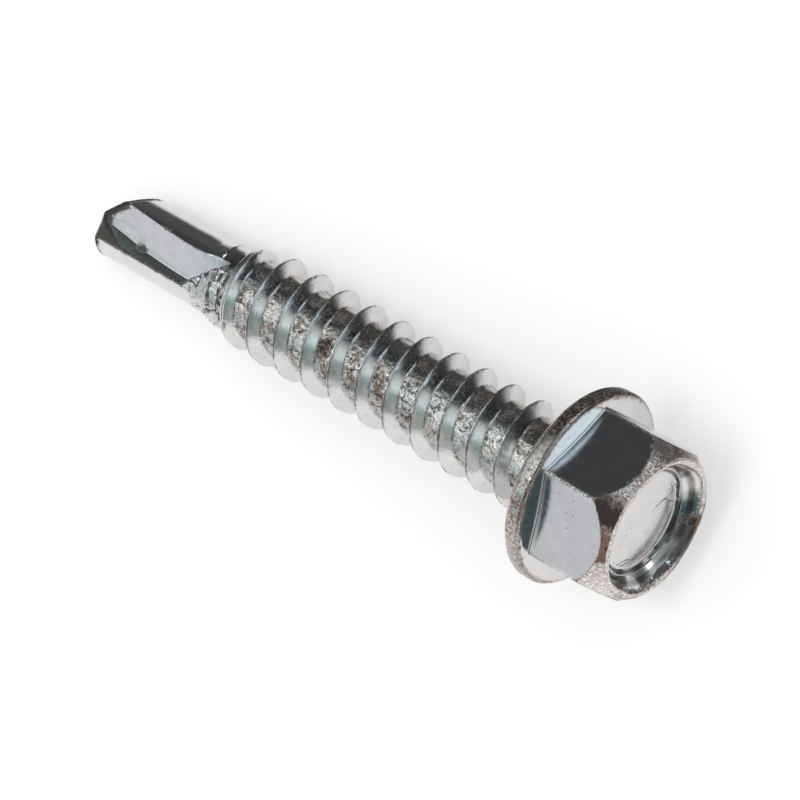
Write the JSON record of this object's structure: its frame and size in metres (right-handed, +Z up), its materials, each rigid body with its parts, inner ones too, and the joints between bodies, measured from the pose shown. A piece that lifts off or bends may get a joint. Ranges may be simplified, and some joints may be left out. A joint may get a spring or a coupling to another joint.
{
  "type": "self drilling screw",
  "caption": "Self drilling screw with a flanged, indented hexagon head, a coarse tapping thread and a fluted drill point, for fastening sheet metal to steel.",
  "frame": {"origin": "centre of the bounding box's base, on the surface that the screw lies on", "axes": "+Z up from that surface; the screw's axis lies in the X-Z plane, with its head towards +X and raised by 7.0 degrees"},
  "size_m": [0.0364, 0.0102, 0.0103],
  "materials": {
    "zinc": "bright zinc plating on steel, rubbed, speckled and brown with dirt in the roots of the thread"
  },
  "bodies": {
    "root": {"screw": "zinc"}
  },
  "joints": []
}
